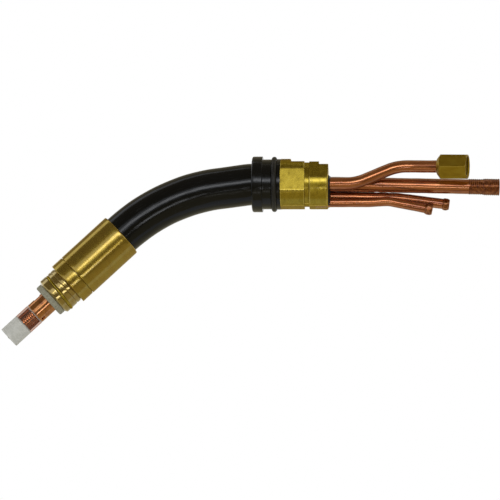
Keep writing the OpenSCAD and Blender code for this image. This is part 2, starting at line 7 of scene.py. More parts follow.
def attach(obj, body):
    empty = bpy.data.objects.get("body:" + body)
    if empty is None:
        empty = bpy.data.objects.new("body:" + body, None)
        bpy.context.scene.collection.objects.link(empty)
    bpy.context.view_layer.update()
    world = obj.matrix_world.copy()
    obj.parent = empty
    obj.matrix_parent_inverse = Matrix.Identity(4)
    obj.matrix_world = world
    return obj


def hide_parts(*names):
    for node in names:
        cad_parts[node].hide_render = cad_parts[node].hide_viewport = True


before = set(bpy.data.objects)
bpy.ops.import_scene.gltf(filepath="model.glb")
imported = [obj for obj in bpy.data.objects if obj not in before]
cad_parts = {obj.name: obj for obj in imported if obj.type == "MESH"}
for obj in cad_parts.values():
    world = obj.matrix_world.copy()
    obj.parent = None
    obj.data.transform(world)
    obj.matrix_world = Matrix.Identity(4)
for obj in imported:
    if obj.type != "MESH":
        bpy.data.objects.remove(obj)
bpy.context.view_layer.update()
scene = bpy.context.scene
scene.view_settings.view_transform = "Standard"


def mm(value):
    return value / 1000


def hexColour(code):
    # an sRGB hex value as linear red, green, blue and alpha
    parts = [int(code[i:i + 2], 16) / 255 for i in (1, 3, 5)]
    return tuple(c / 12.92 if c <= 0.04045 else ((c + 0.055) / 1.055) ** 2.4 for c in parts) + (1,)


# camera
view = {"azimuth": 3.5, "elevation": -12, "roll": 0.73, "distance": mm(1100), "width": mm(279.6),
        "aim": Vector((mm(-3.9), 0, mm(-37.75))), "sensor": 36, "clip": (0.05, 20)}


def direction(azimuth, elevation):
    # azimuth is counted from the near side towards the rear of the torch
    a, e = math.radians(azimuth), math.radians(elevation)
    return Vector((math.sin(a) * math.cos(e), -math.cos(a) * math.cos(e), math.sin(e)))


cameraData = bpy.data.cameras.new("camera")
camera = bpy.data.objects.new("camera", cameraData)
scene.collection.objects.link(camera)
away = direction(view["azimuth"], view["elevation"])
camera.location = view["aim"] + away * view["distance"]
turn = (-away).to_track_quat("-Z", "Y").to_matrix() @ Matrix.Rotation(math.radians(view["roll"]), 3, "Z")
camera.rotation_euler = turn.to_euler()
cameraData.sensor_width = view["sensor"]
cameraData.lens = view["sensor"] * view["distance"] / view["width"]
cameraData.clip_start, cameraData.clip_end = view["clip"]
scene.camera = camera


def addNode(tree, kind, settings=None, inputs=None, stops=None):
    # one node with its settings, its ramp's stops and its inputs: a socket is linked, a value is set
    node = tree.nodes.new(kind)
    for key, value in (settings or {}).items():
        setattr(node, key, value)
    if stops:
        ramp = node.color_ramp.elements
        while len(ramp) < len(stops):
            ramp.new(0.5)
        for element, (position, colour) in zip(ramp, stops):
            element.position = position
            element.color = hexColour(colour)
    for key, value in (inputs or {}).items():
        if isinstance(value, bpy.types.NodeSocket):
            tree.links.new(value, node.inputs[key])
        else:
            node.inputs[key].default_value = value
    return node


# studio: white all round, with dark flags above and below the key lamp that give the brass its dark bands
studio = {
    "world": {"seen": 1.0, "diffuse": 0.62},
    "floor": {"height": mm(-420), "size": 60, "colour": "#eeeeec", "roughness": 0.9},
    "centre": view["aim"],
    # azimuth, elevation, distance, width, height and radiance
    "lamps": {
        "keyLamp": (2.5, 6.3, 0.95, 0.36, 0.18, 3.5),
        "lowLamp": (11.5, -26.3, 0.49, 0.13, 0.055, 3.6),
        "sideLamp": (-8, -42, 0.33, 0.1, 0.03, 0.9),
    },
    # azimuth range, elevation range and colour, warm as card that is lit by the brass
    "flags": {
        "topFlag": ((-84, 62), (18, 84), "#7e745d"),
        "crownFlag": ((-84, 62), (84, 106), "#908565"),
        "lowFlag": ((-64, 66), (-36, -6), "#817759"),
        "underFlag": ((-70, 80), (-80, -36), "#ada179"),
        "rearFlag": ((66, 110), (-34, 60), "#bcb395"),
        "highBackFlag": ((112, 248), (28, 74), "#9e957c"),
        "lowBackFlag": ((112, 248), (-62, -2), "#bcb599"),
    },
    "flagDistance": 1.7, "flagClearance": mm(25), "flagColumns": 24, "flagLines": 8,
}
world = bpy.data.worlds.new("studioWorld")
scene.world = world
world.use_nodes = True
sky = world.node_tree
sky.nodes.clear()
rays = addNode(sky, "ShaderNodeLightPath").outputs
seen = addNode(sky, "ShaderNodeMath", {"operation": "MAXIMUM"},
               {0: rays["Is Camera Ray"], 1: rays["Is Glossy Ray"]})
seen = addNode(sky, "ShaderNodeMath", {"operation": "MAXIMUM"},
               {0: seen.outputs[0], 1: rays["Is Transmission Ray"]})
strength = addNode(sky, "ShaderNodeMapRange", None,
                   {"Value": seen.outputs[0], "To Min": studio["world"]["diffuse"],
                    "To Max": studio["world"]["seen"]})
back = addNode(sky, "ShaderNodeBackground", None,
               {"Color": (1, 1, 1, 1), "Strength": strength.outputs["Result"]})
addNode(sky, "ShaderNodeOutputWorld", None, {"Surface": back.outputs[0]})

for name, (az, el, distance, width, height, radiance) in studio["lamps"].items():
    data = bpy.data.lights.new(name, "AREA")
    data.shape, data.size, data.size_y = "RECTANGLE", width, height
    data.energy = radiance * math.pi * width * height
    lamp = bpy.data.objects.new(name, data)
    scene.collection.objects.link(lamp)
    lamp.location = studio["centre"] + direction(az, el) * distance
    lamp.rotation_euler = direction(az, el).to_track_quat("Z", "Y").to_euler()
    lamp.visible_camera = False


def flagReach(elevation):
    # below the torch a flag comes nearer, so that it stays above the floor
    room = studio["centre"].z - studio["floor"]["height"] - studio["flagClearance"]
    return min(studio["flagDistance"], room / max(-math.sin(math.radians(elevation)), 0.001))


for name, (azRange, elRange, colour) in studio["flags"].items():
    points, faces = [], []
    columns, lines = studio["flagColumns"], studio["flagLines"]
    for i in range(lines + 1):
        for j in range(columns + 1):
            az = azRange[0] + (azRange[1] - azRange[0]) * j / columns
            el = elRange[0] + (elRange[1] - elRange[0]) * i / lines
            points.append(studio["centre"] + direction(az, el) * flagReach(el))
    for i in range(lines):
        for j in range(columns):
            a = i * (columns + 1) + j
            faces.append((a, a + 1, a + columns + 2, a + columns + 1))
    mesh = bpy.data.meshes.new(name)
    mesh.from_pydata(points, [], faces)
    flag = bpy.data.objects.new(name, mesh)
    scene.collection.objects.link(flag)
    cloth = bpy.data.materials.new(name)
    cloth.use_nodes = True
    cloth.node_tree.nodes.clear()
    glow = addNode(cloth.node_tree, "ShaderNodeEmission", None, {"Color": hexColour(colour), "Strength": 1})
    addNode(cloth.node_tree, "ShaderNodeOutputMaterial", None, {"Surface": glow.outputs[0]})
    mesh.materials.append(cloth)
    flag.visible_camera = flag.visible_diffuse = flag.visible_shadow = flag.visible_transmission = False

floorMesh = bpy.data.meshes.new("floor")
half = studio["floor"]["size"] / 2
floorMesh.from_pydata([(-half, -half, 0), (half, -half, 0), (half, half, 0), (-half, half, 0)],
                      [], [(0, 1, 2, 3)])
floor = bpy.data.objects.new("floor", floorMesh)
floor.location.z = studio["floor"]["height"]
scene.collection.objects.link(floor)
floorPaint = bpy.data.materials.new("matte paint, rolled")
floorPaint.use_nodes = True
floorShader = floorPaint.node_tree.nodes["Principled BSDF"]
floorShader.inputs["Base Color"].default_value = hexColour(studio["floor"]["colour"])
floorShader.inputs["Roughness"].default_value = studio["floor"]["roughness"]
floorMesh.materials.append(floorPaint)
print("studio ready")


# materials
def startMaterial(name):
    material = bpy.data.materials.new(name)
    material.use_nodes = True
    tree = material.node_tree
    # pieces made here carry their place round and along their path, the plain CAD solids have none
    place = addNode(tree, "ShaderNodeAttribute", {"attribute_name": "place"})
    return material, tree, tree.nodes["Principled BSDF"], place.outputs["Vector"]


def pattern(tree, place, size, along=None, detail=3, distortion=0):
    # noise whose grains are size mm across and along mm long
    along = along or size
    scaled = addNode(tree, "ShaderNodeMapping", None,
                     {"Vector": place, "Scale": (1000 / size, 1000 / size, 1000 / along)})
    grain = addNode(tree, "ShaderNodeTexNoise", None,
                    {"Vector": scaled.outputs[0], "Scale": 1, "Detail": detail, "Distortion": distortion})
    return grain.outputs["Fac"]


# outer edges are drawn lighter and corners darker, from and to these turns of the surface
edgeToneAndCoat = {"bright": (0.04, 0.35), "darkCorner": (-0.04, -0.5), "darkCornerShare": 0.8, "coatRoughness": 0.12}
reliefDistance = mm(0.2)
coldGloss = "#f7faff"


def metalFinish(name, finish):
    # metal with streaked tone, lighter edges and darker corners, uneven roughness and a fine relief
    material, tree, shader, place = startMaterial(name)
    tone = pattern(tree, place, *finish["toneSize"], detail=4, distortion=finish.get("swirl", 0))
    colour = addNode(tree, "ShaderNodeValToRGB", None, {"Fac": tone}, finish["tones"]).outputs["Color"]
    surfaceTurn = addNode(tree, "ShaderNodeAttribute", {"attribute_name": "edge"}).outputs["Fac"]
    # the tone is lighter on outer edges and darker in corners, by how sharply the surface turns
    edgeAndCornerTones = ((edgeToneAndCoat["bright"], 1, "edgeColour"), (edgeToneAndCoat["darkCorner"], edgeToneAndCoat["darkCornerShare"], "darkCornerColour"))
    for (turnFrom, turnTo), share, kind in edgeAndCornerTones:
        amount = addNode(tree, "ShaderNodeMapRange", None,
                         {"Value": surfaceTurn, "From Min": turnFrom, "From Max": turnTo, "To Max": share})
        colour = addNode(tree, "ShaderNodeMix", {"data_type": "RGBA"},
                         {0: amount.outputs["Result"], 6: colour, 7: hexColour(finish[kind])}).outputs[2]
    low, high = finish["roughness"]
    patch = pattern(tree, place, *finish["roughSize"])
    rough = addNode(tree, "ShaderNodeMapRange", None,
                    {"Value": patch, "From Min": 0.3, "From Max": 0.7, "To Min": low, "To Max": high})
    relief = pattern(tree, place, *finish["reliefSize"], detail=2)
    bump = addNode(tree, "ShaderNodeBump", None,
                   {"Height": relief, "Strength": finish["relief"], "Distance": reliefDistance})
    # tool marks stretch each highlight: turned ones spread it along the piece, drawn ones across
    marks = addNode(tree, "ShaderNodeAttribute", {"attribute_name": "axial"})
    tree.links.new(colour, shader.inputs["Base Color"])
    tree.links.new(rough.outputs["Result"], shader.inputs["Roughness"])
    tree.links.new(bump.outputs[0], shader.inputs["Normal"])
    tree.links.new(marks.outputs["Vector"], shader.inputs["Tangent"])
    shader.inputs["Anisotropic"].default_value = finish.get("stretch", 0)
    shader.inputs["Anisotropic Rotation"].default_value = 0.25 if finish.get("drawn") else 0
    shader.inputs["Metallic"].default_value = finish.get("metallic", 1)
    shader.inputs["Specular Tint"].default_value = hexColour(finish.get("rimColour", "#ffffff"))
    shader.inputs["Coat Weight"].default_value = finish.get("coat", 0)
    shader.inputs["Coat IOR"].default_value = finish.get("coatIor", 1.6)
    shader.inputs["Coat Roughness"].default_value = edgeToneAndCoat["coatRoughness"]
    return material


def plainFinish(name, finish):
    # rubber, plastic or resin: one grain drives its tone, its roughness and its relief
    material, tree, shader, place = startMaterial(name)
    grain = pattern(tree, place, finish["grainSize"], detail=finish.get("detail", 3))
    colour = addNode(tree, "ShaderNodeValToRGB", None, {"Fac": grain}, finish["tones"])
    tree.links.new(colour.outputs["Color"], shader.inputs["Base Color"])
    low, high = finish["roughness"]
    if low == high:
        shader.inputs["Roughness"].default_value = low
    else:
        fromMin, fromMax = finish["roughRange"]
        rough = addNode(tree, "ShaderNodeMapRange", None,
                        {"Value": grain, "From Min": fromMin, "From Max": fromMax,
                         "To Min": low, "To Max": high})
        tree.links.new(rough.outputs["Result"], shader.inputs["Roughness"])
    if "relief" in finish:
        bump = addNode(tree, "ShaderNodeBump", None,
                       {"Height": grain, "Strength": finish["relief"], "Distance": reliefDistance})
        tree.links.new(bump.outputs[0], shader.inputs["Normal"])
    if "gloss" in finish:
        shader.inputs["Specular IOR Level"].default_value = finish["gloss"]
        shader.inputs["Specular Tint"].default_value = hexColour(coldGloss)
    return material


# sizes are in mm, across and along; tool marks stand 0.05 to 0.1 mm apart on real turned or drawn metal, and
# are drawn here as coarse as they need to show

# brass bar, fine turned and left satin: grooves round the axis draw the lamps out into long bands
turnedBrass = metalFinish("brass, fine turned", {
    "toneSize": (9, 3.5), "tones": [(0.3, "#9a8028"), (0.5, "#a68c30"), (0.72, "#a49036")], "swirl": 0.6,
    "edgeColour": "#d8c184", "darkCornerColour": "#4a3810", "roughness": (0.18, 0.26), "roughSize": (12, 2.2),
    "reliefSize": (14, 0.6), "relief": 0.005, "coat": 0.6, "coatIor": 1.65, "stretch": 0.7,
    "rimColour": "#dcc88a"})
# brass, turned and polished: nearly a mirror, so lamps show as hard bright marks
polishedBrass = metalFinish("brass, polished", {
    "toneSize": (6, 1.6), "tones": [(0.3, "#9a8234"), (0.55, "#aa9242"), (0.75, "#b09a4e")],
    "edgeColour": "#dcc890", "darkCornerColour": "#3a2a08", "roughness": (0.11, 0.16), "roughSize": (5, 1.2),
    "reliefSize": (9, 0.5), "relief": 0.006, "coat": 1, "coatIor": 1.75, "stretch": 0.8})
# brass, milled flats on a turned bar: a fine grain that breaks the light into soft specks
milledBrass = metalFinish("brass, turned and milled", {
    "toneSize": (4, 3), "tones": [(0.28, "#8a761a"), (0.42, "#9e8a28"), (0.6, "#a8932e"), (0.75, "#ae9c3a")],
    "swirl": 0.8, "edgeColour": "#d9c462", "darkCornerColour": "#3f3008", "roughness": (0.22, 0.34),
    "roughSize": (3, 3), "reliefSize": (1.2, 1.2), "relief": 0.05, "coat": 0.25, "rimColour": "#dcc88a"})
# brass bar stock, drawn and dulled by handling: broad highlights without an edge
dullBrass = metalFinish("brass, drawn and dull", {
    "toneSize": (3, 6), "tones": [(0.3, "#957b24"), (0.5, "#a28629"), (0.75, "#ab9436")],
    "edgeColour": "#a88e36", "darkCornerColour": "#3a2a04", "roughness": (0.36, 0.48), "roughSize": (2.5, 2.5),
    "reliefSize": (0.8, 1.2), "relief": 0.08})
# electrolytic copper, turned: warm and bright with darker tarnish in patches
turnedCopper = metalFinish("copper, turned", {
    "toneSize": (2.6, 2.2), "tones": [(0.28, "#8c4e20"), (0.5, "#b87438"), (0.75, "#cc8c4c")], "swirl": 1.2,
    "edgeColour": "#d89c6c", "darkCornerColour": "#2a1208", "roughness": (0.11, 0.17), "roughSize": (3, 1),
    "reliefSize": (5, 0.5), "relief": 0.01, "coat": 1, "stretch": 0.8, "rimColour": "#e6c09a"})
# copper tube, drawn: scored lengthwise by the die and oxidised in streaks
drawnCopper = metalFinish("copper tube, drawn", {
    "toneSize": (1.1, 16),
    "tones": [(0.3, "#6e3414"), (0.46, "#a45c2a"), (0.6, "#b66e3a"), (0.78, "#d09462")],
    "swirl": 0.3, "edgeColour": "#d39a70", "darkCornerColour": "#33140a", "roughness": (0.15, 0.28),
    "roughSize": (1.2, 9), "reliefSize": (0.5, 9), "relief": 0.05, "coat": 0.7, "metallic": 0.85,
    "stretch": 0.4, "drawn": True})
# copper, swaged and threaded: worked darker by the dies
workedCopper = metalFinish("copper, swaged", {
    "toneSize": (1.6, 1.6), "tones": [(0.3, "#602e12"), (0.52, "#8a4c24"), (0.75, "#ae7040")],
    "edgeColour": "#cc9060", "darkCornerColour": "#2a1006", "roughness": (0.24, 0.38), "roughSize": (1.2, 1.2),
    "reliefSize": (0.6, 0.6), "relief": 0.1, "coat": 0.4})

# glass filled nylon, injection moulded: satin black, a little grey where light rakes it
collarNylon = plainFinish("nylon, moulded", {
    "grainSize": 0.9, "detail": 4, "tones": [(0.35, "#030406"), (0.7, "#07080a")], "roughRange": (0.3, 0.7),
    "roughness": (0.14, 0.24), "relief": 0.06, "gloss": 0.36})
# nitrile rubber, moulded: soft black with no gloss
sealRubber = plainFinish("nitrile rubber, moulded", {
    "grainSize": 0.7, "tones": [(0.3, "#070707"), (0.7, "#0d0d0d")], "roughRange": (0, 1),
    "roughness": (0.38, 0.55)})
# potting resin, poured by hand: black and lumpy with a wet gloss
pottingResin = plainFinish("epoxy resin, potted", {
    "grainSize": 2, "tones": [(0.3, "#070707"), (0.7, "#151414")], "roughRange": (0, 1),
    "roughness": (0.25, 0.5)})
# filled thermoset, pressed: matte greenish grey with darker flecks of filler
washerStock = plainFinish("filled resin, pressed", {
    "grainSize": 0.8, "detail": 4, "tones": [(0.3, "#8a8672"), (0.55, "#9c9a84"), (0.8, "#aaa892")],
    "roughness": (0.62, 0.62), "relief": 0.1})

# silicone rubber sleeve, extruded and pulled over the tube: glossy black, rubbed in streaks along its crown
sleeve = {"cloud": (18, 40), "tones": [(0.35, "#030406"), (0.65, "#06070a")], "scuff": (0.35, 7),
          "scuffed": (0.62, 0.75), "scuffColour": "#242424", "roughRange": (0.3, 0.75),
          "roughness": (0.05, 0.22), "relief": 0.12, "gloss": 0.3}
neckRubber, tree, shader, place = startMaterial("silicone rubber, extruded")
cloud = pattern(tree, place, *sleeve["cloud"])
colour = addNode(tree, "ShaderNodeValToRGB", None, {"Fac": cloud}, sleeve["tones"])
scuff = pattern(tree, place, *sleeve["scuff"], detail=5)
scuffed = addNode(tree, "ShaderNodeMapRange", None,
                  {"Value": scuff, "From Min": sleeve["scuffed"][0], "From Max": sleeve["scuffed"][1]})
colour = addNode(tree, "ShaderNodeMix", {"data_type": "RGBA"},
                 {0: scuffed.outputs["Result"], 6: colour.outputs["Color"],
                  7: hexColour(sleeve["scuffColour"])})
tree.links.new(colour.outputs[2], shader.inputs["Base Color"])
rough = addNode(tree, "ShaderNodeMapRange", None,
                {"Value": scuff, "From Min": sleeve["roughRange"][0], "From Max": sleeve["roughRange"][1],
                 "To Min": sleeve["roughness"][0], "To Max": sleeve["roughness"][1]})
tree.links.new(rough.outputs["Result"], shader.inputs["Roughness"])
bump = addNode(tree, "ShaderNodeBump", None,
               {"Height": scuff, "Strength": sleeve["relief"], "Distance": reliefDistance})
tree.links.new(bump.outputs[0], shader.inputs["Normal"])
shader.inputs["Specular IOR Level"].default_value = sleeve["gloss"]
shader.inputs["Specular Tint"].default_value = hexColour(coldGloss)

# soft PVC, dip moulded: milky with mould rings where it stands off, clear where it lies tight on the thread,
# and half milky at its rear rim as a painted highlight
vinyl = {"ringPitch": mm(1.25), "ringTone": 0.05, "cloud": (2.5, 1.2),
         "tones": [(0.3, "#cfd0c7"), (0.7, "#e0e0d8")],
         "clearEnd": (mm(7.8), mm(9)), "clearShare": (0.97, 0.1),
         # the rear rim is drawn half milky and lighter, a painted highlight where its edge catches the light
         "paintedRimLightEnd": (mm(0.1), mm(0.7)), "paintedRimLightShare": (0.5, 1),
         # the second colour below is the copper's colour painted into the clear wall, a painted reflection of
         # the copper behind it
         "roughness": 0.36, "paintedCopperSlant": 0.55, "thinTint": "#f7efea", "paintedCopperTint": "#c5a695"}
capVinyl, tree, shader, place = startMaterial("soft PVC, moulded")
along = addNode(tree, "ShaderNodeSeparateXYZ", None, {"Vector": place}).outputs["Z"]
turns = addNode(tree, "ShaderNodeMath", {"operation": "MULTIPLY"},
                {0: along, 1: 2 * math.pi / vinyl["ringPitch"]})
ringing = addNode(tree, "ShaderNodeMath", {"operation": "SINE"}, {0: turns.outputs[0]})
cloud = pattern(tree, place, *vinyl["cloud"])
milk = addNode(tree, "ShaderNodeMath", {"operation": "MULTIPLY_ADD"},
               {0: ringing.outputs[0], 1: vinyl["ringTone"], 2: cloud})
colour = addNode(tree, "ShaderNodeValToRGB", None, {"Fac": milk.outputs[0]}, vinyl["tones"])
tree.links.new(colour.outputs["Color"], shader.inputs["Base Color"])
shader.inputs["Roughness"].default_value = vinyl["roughness"]
shares = [addNode(tree, "ShaderNodeMapRange", None,
                  {"Value": along, "From Min": vinyl[end][0], "From Max": vinyl[end][1],
                   "To Min": vinyl[share][0], "To Max": vinyl[share][1]}).outputs["Result"]
          for end, share in (("clearEnd", "clearShare"), ("paintedRimLightEnd", "paintedRimLightShare"))]
# the wall is clear over the thread and half milky at its rear rim, a painted highlight
clearWithPaintedRim = addNode(tree, "ShaderNodeMath", {"operation": "MULTIPLY"}, dict(enumerate(shares)))
# painted reflection: the clear wall takes on the copper's colour where the eye passes through more of it, the
# copper seen through it painted in
paintedCopperSlant = addNode(tree, "ShaderNodeLayerWeight", None, {"Blend": vinyl["paintedCopperSlant"]})
tintWithPaintedCopper = addNode(tree, "ShaderNodeMix", {"data_type": "RGBA"},
               {0: paintedCopperSlant.outputs["Facing"], 6: hexColour(vinyl["thinTint"]),
                7: hexColour(vinyl["paintedCopperTint"])})
clear = addNode(tree, "ShaderNodeBsdfTransparent", None, {"Color": tintWithPaintedCopper.outputs[2]})
wall = addNode(tree, "ShaderNodeMixShader", None,
               {0: clearWithPaintedRim.outputs[0], 1: shader.outputs[0], 2: clear.outputs[0]})
tree.links.new(wall.outputs[0], tree.nodes["Material Output"].inputs["Surface"])
print("materials ready")


# shaping: every piece is rows of rings along a path, in mm
def shift(x=0, y=0, z=0):
    return Matrix.Translation((x, y, z))


def spin(degrees, axis):
    return Matrix.Rotation(math.radians(degrees), 4, axis)


def bendEnd(radius, angle):
    return shift(radius * (1 - math.cos(angle)), 0, radius * math.sin(angle)) @ Matrix.Rotation(angle, 4, "Y")


def straightPath(start):
    return lambda s: start @ shift(z=s)


def routePath(start, legs):
    # legs are (straight length, bend radius, bend angle, roll of the bend's plane), in mm and degrees
    def at(s):
        here = start.copy()
        for length, radius, angle, roll in legs:
            if s <= length:
                break
            twist = spin(roll, "Z")
            here, s = here @ shift(z=length), s - length
            arc = radius * math.radians(angle)
            if s <= arc:
                return here @ twist @ bendEnd(radius, s / radius) @ twist.inverted()
            if arc:
                here, s = here @ twist @ bendEnd(radius, math.radians(angle)) @ twist.inverted(), s - arc
        return here @ shift(z=s)
    return at


def routeLength(legs):
    return sum(length + radius * math.radians(angle) for length, radius, angle, roll in legs)


def facingFront(x):
    return shift(x) @ spin(-90, "Y") @ spin(180, "Z")


def facingRear(x, at=(0, 0)):
    return shift(x, *at) @ spin(90, "Y") @ spin(180, "Z")


def rounded(outline, size=0.15, steps=3):
    # the closed outline of (along, radius) points with its corners eased, by a third number where it has one
    points = []
    count = len(outline)
    for i, corner in enumerate(outline):
        here = np.array(corner[:2], float)
        before, after = np.array(outline[i - 1][:2], float), np.array(outline[(i + 1) % count][:2], float)
        reach = corner[2] if len(corner) > 2 else size
        ends = []
        for other in (before, after):
            way = other - here
            length = np.hypot(*way)
            ends.append(here + way / length * min(reach, length * 0.45))
        for t in np.linspace(0, 1, steps + 1):
            points.append(tuple((1 - t) ** 2 * ends[0] + 2 * t * (1 - t) * here + t * t * ends[1]))
    return points


def dense(outline, step):
    # long runs of the outline cut into pieces of at most step mm: one number, or a rule
    # for where a run starts
    points = []
    for here, after in zip(outline, outline[1:] + outline[:1]):
        along, out = after[0] - here[0], after[1] - here[1]
        cuts = max(1, math.ceil(math.hypot(along, out) / (step(here) if callable(step) else step)))
        points += [(here[0] + along * k / cuts, here[1] + out * k / cuts) for k in range(cuts)]
    return points


def softMin(a, b, ease=0.07):
    return -ease * np.logaddexp(-a / ease, -b / ease)


def flatAt(angle, turn, depth):
    # distance from the axis to a flat of that depth whose normal points at turn
    across = np.cos(angle - math.radians(turn))
    return np.where(across > 0.05, depth / np.maximum(across, 0.05), 1000)


def threadDepth(along, angle, thread):
    # a thread is a real helix: its depth follows the phase of the turn, and it runs out at both ends
    phase = (along / thread["pitch"] - angle / (2 * math.pi)) % 1
    tooth = np.clip((1 - np.abs(2 * phase - 1)) * 1.5 - 0.25, 0, 1)
    start, end = thread["range"]
    fade = np.clip((along - start) / thread["run"], 0, 1) * np.clip((end - along) / thread["run"], 0, 1)
    return thread["depth"] * tooth * fade


creaseAngle = 38


def storeVectors(mesh, name, vectors):
    layer = mesh.attributes.new(name, "FLOAT_VECTOR", "POINT")
    layer.data.foreach_set("vector", vectors.reshape(-1).astype(np.float32))


def skin(name, rows, path, around=96, shape=None, closed=True, edges=False):
    # rows are (along, radius); shape changes the rings' radius and place by angle
    s = np.array([row[0] for row in rows], float)
    along, angle = np.meshgrid(s, np.linspace(0, 2 * math.pi, around, endpoint=False), indexing="ij")
    radius = np.repeat(np.array([row[1] for row in rows], float)[:, None], around, 1)
    if shape:
        radius, along = shape(radius, along, angle)
    frames = np.array([path(value) for value in s])[:, None]
    x, y = radius * np.cos(angle), radius * np.sin(angle)
    points = (frames[..., :3, 3] + frames[..., :3, 0] * x[..., None] + frames[..., :3, 1] * y[..., None]
              + frames[..., :3, 2] * (along - s[:, None])[..., None])
    count = len(rows)
    faces = []
    for i in range(count if closed else count - 1):
        lower, upper = i * around, (i + 1) % count * around
        faces += [(lower + j, lower + (j + 1) % around, upper + (j + 1) % around, upper + j)
                  for j in range(around)]
    mesh = bpy.data.meshes.new(name)
    mesh.from_pydata((points.reshape(-1, 3) / 1000).tolist(), [], faces)
    storeVectors(mesh, "place", np.stack([x, y, along], -1) / 1000)
    storeVectors(mesh, "axial", np.repeat(frames[..., :3, 2], around, 1))
    work = bmesh.new()
    work.from_mesh(mesh)
    bmesh.ops.remove_doubles(work, verts=work.verts, dist=1e-7)
    bmesh.ops.recalc_face_normals(work, faces=work.faces)
    if edges:
        # how sharply the surface turns: over 0 on outer edges, under 0 in corners
        layer = work.verts.layers.float.new("edge")
        for vert in work.verts:
            turns = [e.calc_face_angle_signed(0) for e in vert.link_edges]
            vert[layer] = max(min(max(turns, key=abs), 1), -1) if turns else 0
    work.to_mesh(mesh)
    work.free()
    mesh.polygons.foreach_set("use_smooth", [True] * len(mesh.polygons))
    mesh.set_sharp_from_angle(angle=math.radians(creaseAngle))
    return mesh


def fit(name, mesh, material, body, slot, *nodes):
    # hangs a finished piece on its body and hides the solids it stands for
    piece = bpy.data.objects.new(name, mesh)
    scene.collection.objects.link(piece)
    mesh.materials.append(material)
    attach(piece, body)
    if nodes:
        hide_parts(*nodes)


# places that several pieces share, in mm and degrees
layout = {
    "jacketRear": (-76.47112, 0, -29.12367), "frontAngle": 43.6, "longBend": (15.6, 97.6, 35.6, 0),
    "blockFront": 13, "grooveFront": 26.5, "rearBody": 29.2, "blockRear": 39.8, "socket": 7,
}
front = shift(*layout["jacketRear"]) @ spin(-90 - layout["frontAngle"], "Y")
frontPath = straightPath(front)
rearPath = straightPath(facingRear(0))

# water jacket: satin tube and, over a groove line, its own front ring
jacket = {"radius": 13.25, "length": 33.3, "bore": 12.15, "lap": 4, "lapBore": 11.78,
          "ring": (33.7, 40.8), "ringRadius": 13.15, "ringBore": 10.6, "lineRadius": 12.55}
outline = rounded([(0, jacket["lapBore"]), (0, jacket["radius"], 0.7),
                   (jacket["length"], jacket["radius"], 0.1), (jacket["length"], jacket["bore"]),
                   (jacket["lap"], jacket["bore"]), (jacket["lap"], jacket["lapBore"])])
fit("jacketTube", skin("jacketTube", dense(outline, 2), frontPath, 192),
    turnedBrass, "torch", "brass_jacket", "jacket_sleeve")
ringRear, ringFront = jacket["ring"]
outline = rounded([(jacket["length"], jacket["ringBore"]), (jacket["length"], jacket["lineRadius"]),
                   (ringRear, jacket["lineRadius"]), (ringRear, jacket["ringRadius"], 0.08),
                   (ringFront, jacket["ringRadius"], 0.3), (ringFront, jacket["ringBore"])])
fit("jacketRing", skin("jacketRing", dense(outline, 1.5), frontPath, 192),
    turnedBrass, "torch", "brass_jacket", "jacket_front_ring")

# nozzle seat: lands, a fine groove line and the tilted groove of the spring ring
seat = {"radius": 11.5, "bore": 8.6, "rear": 34.3, "tailRadius": 10.5, "undercut": 11, "land": 41.3,
        "line": (43.4, 43.8), "lineSlope": 0.1, "lineRadius": 11.15, "ring": 47.2, "groove": (46.37, 48.03),
        "grooveRadius": 9.95, "front": 52.1, "cone": 0.9, "coneRadius": 10.2, "tilt": 4.5, "leanReach": 3.6,
        "leanGain": 1.6}


def seatShape(radius, along, angle):
    # rings near the groove lean over with it
    lean = np.clip((1 - np.abs(along - seat["ring"]) / seat["leanReach"]) * seat["leanGain"], 0, 1)
    return radius, along - radius * np.cos(angle) * math.tan(math.radians(seat["tilt"])) * lean


lineRear, lineFront = seat["line"]
grooveRear, grooveFront = seat["groove"]
outline = rounded([
    (seat["rear"], seat["bore"]), (seat["rear"], seat["tailRadius"]), (ringFront, seat["tailRadius"]),
    (ringFront, seat["undercut"]), (seat["land"], seat["undercut"]), (seat["land"], seat["radius"], 0.12),
    (lineRear, seat["radius"], 0.1), (lineRear + seat["lineSlope"], seat["lineRadius"]),
    (lineFront - seat["lineSlope"], seat["lineRadius"]), (lineFront, seat["radius"], 0.1),
    (grooveRear, seat["radius"], 0.12), (grooveRear, seat["grooveRadius"]),
    (grooveFront, seat["grooveRadius"]), (grooveFront, seat["radius"], 0.12),
    (seat["front"] - seat["cone"], seat["radius"], 0.15), (seat["front"], seat["coneRadius"]),
    (seat["front"], seat["bore"])])
fit("nozzleSeat", skin("nozzleSeat", dense(outline, 0.6), frontPath, 192, seatShape),
    polishedBrass, "torch", "brass_seat", "nozzle_seat")

# insulating washer with its bush, one piece
washer = {"radius": 10, "rear": 52.1, "front": 55.5, "bore": 6.25, "step": 50.1,
          "bush": 8.55, "bushRear": 35.3, "bushBore": 6.6}
outline = rounded([(washer["bushRear"], washer["bushBore"]), (washer["bushRear"], washer["bush"]),
                   (washer["rear"], washer["bush"]), (washer["rear"], washer["radius"], 0.4),
                   (washer["front"], washer["radius"], 1.0), (washer["front"], washer["bore"]),
                   (washer["step"], washer["bore"]), (washer["step"], washer["bushBore"])], 0.15, 5)
fit("insulatingWasher", skin("insulatingWasher", dense(outline, 1), frontPath, 144),
    washerStock, "torch", "washer_grey", "front_insulator")

# tip holder: turned copper with its notch, gas holes and M10 thread; seam parts the rings at a sharp step
holder = {"radius": 6.15, "bore": 2.6, "socket": 3.4, "socketFloor": 63.5, "rear": 44.1, "shank": 4.9,
          "shoulder": 50.1, "front": 65.5, "threadEnd": 73.9, "threadRadius": 5, "outside": 5.3,
          "notch": (56.8, 60.8), "notchFlat": 5.1, "seam": 0.01,
          "hole": 63.4, "holeRadius": 1.15, "holeTurn": 20, "holeDepth": 2.4, "holeEase": 0.24,
          "thread": {"range": (65.5, 73.9), "pitch": 1.25, "depth": 0.05, "run": 0.5},
          "threadFrom": 4.2, "fineFrom": (61.5, 4.5), "fine": 0.1, "coarse": 0.35}


